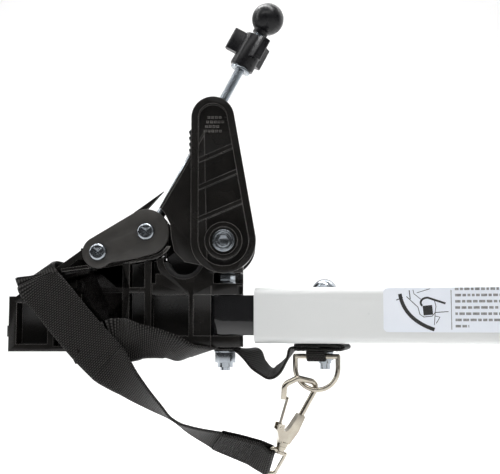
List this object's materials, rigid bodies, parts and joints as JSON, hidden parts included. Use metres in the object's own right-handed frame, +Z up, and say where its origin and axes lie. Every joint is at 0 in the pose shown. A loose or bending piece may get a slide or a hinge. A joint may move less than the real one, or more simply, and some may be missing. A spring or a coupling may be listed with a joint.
{
  "type": "bicycle trailer tow hitch",
  "caption": "Clamp-on trailer hitch: ribbed jaw body, swinging clamp arm, knob on an eye rod, flexible coupling in a square tow bar, webbing safety strap with snap hook.",
  "frame": {"origin": "centre of the cross pin hole at the rear of the tow bar", "axes": "+X along the tow bar towards the trailer, +Y along the cross pin towards the nut side, +Z up"},
  "size_m": [0.3587, 0.0745, 0.2826],
  "materials": {
    "moulded_nylon": "black glass-filled nylon, faint grain",
    "black_knob": "black moulded plastic, satin",
    "rubber": "black rubber",
    "urethane": "glossy black urethane",
    "zinc_steel": "bright zinc plated",
    "black_steel": "dark satin coated steel",
    "nickel": "bright nickel plated",
    "white_coat": "white powder coat",
    "label_film": "printed vinyl film",
    "webbing": "woven black nylon webbing"
  },
  "bodies": {
    "tow_bar": {"tow_bar": "white_coat", "bar_label": "label_film", "flex_coupling": "urethane", "coupling_sleeve": "zinc_steel", "bar_bolt": "zinc_steel", "bar_bolt_washer": "zinc_steel", "bar_bolt_nut": "zinc_steel", "strap_tab": "webbing", "d_ring": "nickel", "swivel_eye": "nickel", "strap_sewn_end": "webbing"},
    "hitch": {"jaw_body": "moulded_nylon", "seat_pad": "rubber", "link_plate_front": "black_steel", "link_plate_rear": "black_steel", "rod_pin_screw": "zinc_steel", "link_tail_screw": "zinc_steel", "rod_pin_nut": "zinc_steel", "link_tail_nut": "zinc_steel", "rod_pin_sleeve": "zinc_steel", "arm_bolt": "zinc_steel", "arm_bolt_washer": "zinc_steel", "arm_sleeve": "zinc_steel", "arm_nut": "zinc_steel", "kingpin": "zinc_steel", "kingpin_head_washer": "zinc_steel", "kingpin_washer": "zinc_steel", "kingpin_nut": "zinc_steel", "strap_lower_run": "webbing", "strap_wrap": "webbing", "strap_tail": "webbing", "strap_slack": "webbing"},
    "clamp_arm": {"clamp_arm": "moulded_nylon", "arm_grip": "rubber"},
    "eye_rod": {"eye_rod": "zinc_steel", "ball_knob": "black_knob"},
    "thrust_washer": {"thrust_washer": "zinc_steel"},
    "knob_nut": {"knob_nut": "black_knob", "knob_insert": "zinc_steel"},
    "snap_hook": {"snap_body": "nickel", "gate_rivet": "nickel"},
    "snap_gate": {"snap_gate": "nickel"}
  },
  "joints": [
    {"name": "tow_yaw", "type": "hinge", "parent": "tow_bar", "child": "hitch", "pos_m": [-0.214, 0, 0], "axis": [0, 0, 1], "range_deg": [-75, 45], "deforming": ["strap_slack", "strap_tail"]},
    {"name": "clamp_arm_swing", "type": "hinge", "parent": "hitch", "child": "clamp_arm", "pos_m": [-0.21468, -0.00018, 0.0428], "axis": [-0.2588, 0.9659, 0], "range_deg": [-3, 80]},
    {"name": "rod_swing", "type": "hinge", "parent": "hitch", "child": "eye_rod", "pos_m": [-0.25795, -0.01178, 0.0481], "axis": [-0.2588, 0.9659, 0], "range_deg": [-60, 0]},
    {"name": "knob_travel", "type": "slide", "parent": "eye_rod", "child": "thrust_washer", "axis": [-0.4562, -0.1222, -0.8814], "range_m": [0, 0.02]},
    {"name": "knob_spin", "type": "hinge", "parent": "thrust_washer", "child": "knob_nut", "pos_m": [-0.18937, 0.0066, 0.1806], "axis": [0.4562, 0.1222, 0.8814], "range_deg": [-7201, 0]},
    {"name": "hook_swivel", "type": "hinge", "parent": "tow_bar", "child": "snap_hook", "pos_m": [-0.1774, -0.0108, -0.0726], "axis": [0.2924, 0, 0.9563], "range_deg": [0, 10]},
    {"name": "gate_swing", "type": "hinge", "parent": "snap_hook", "child": "snap_gate", "pos_m": [-0.17814, -0.01344, -0.06213], "axis": [-0.5485, 0.8192, 0.1677], "range_deg": [0, 18], "stiffness_Nm_per_rad": 0.02}
  ],
  "couplings": [
    {"joint": "knob_spin", "follows": "knob_travel", "rad_per_m": -6283.2}
  ]
}
